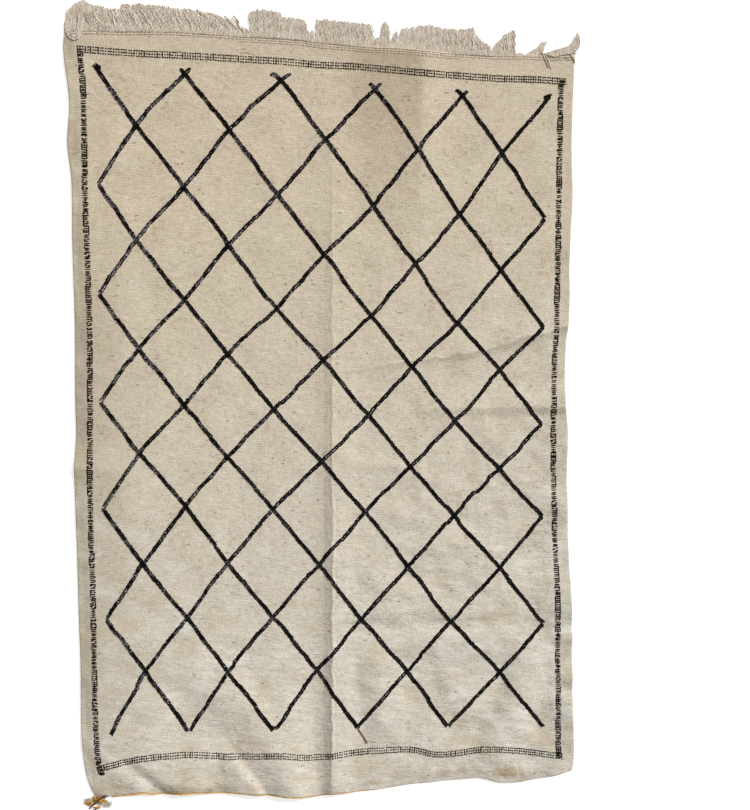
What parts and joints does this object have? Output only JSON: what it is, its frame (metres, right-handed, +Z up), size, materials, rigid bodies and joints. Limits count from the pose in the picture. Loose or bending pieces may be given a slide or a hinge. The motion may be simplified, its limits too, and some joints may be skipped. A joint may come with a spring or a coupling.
{
  "type": "berber kilim",
  "caption": "Flat-woven wool floor rug with a black diamond lattice inside a banded border, a warp fringe along one end and a yarn tuft at one corner.",
  "frame": {"origin": "middle of the rug's outline, on the floor", "axes": "+X across the weave, +Y along the warp from the hem to the fringe, +Z up out of the patterned face"},
  "size_m": [1.2262, 1.9192, 0.0168],
  "materials": {
    "cream_wool": "undyed handspun wool, plain weave, with dark flecks",
    "fringe_wool": "loose twisted warp yarn",
    "golden_yarn": "golden brown plied wool",
    "black_wool": "black wool with grey fibres",
    "red_yarn": "dark red yarn end"
  },
  "bodies": {
    "root": {"woven_cloth": "cream_wool", "fringe": "fringe_wool", "edge_cord": "golden_yarn", "corner_tassel": "golden_yarn", "tie_yarn": "black_wool", "thread_end": "red_yarn"}
  },
  "joints": []
}
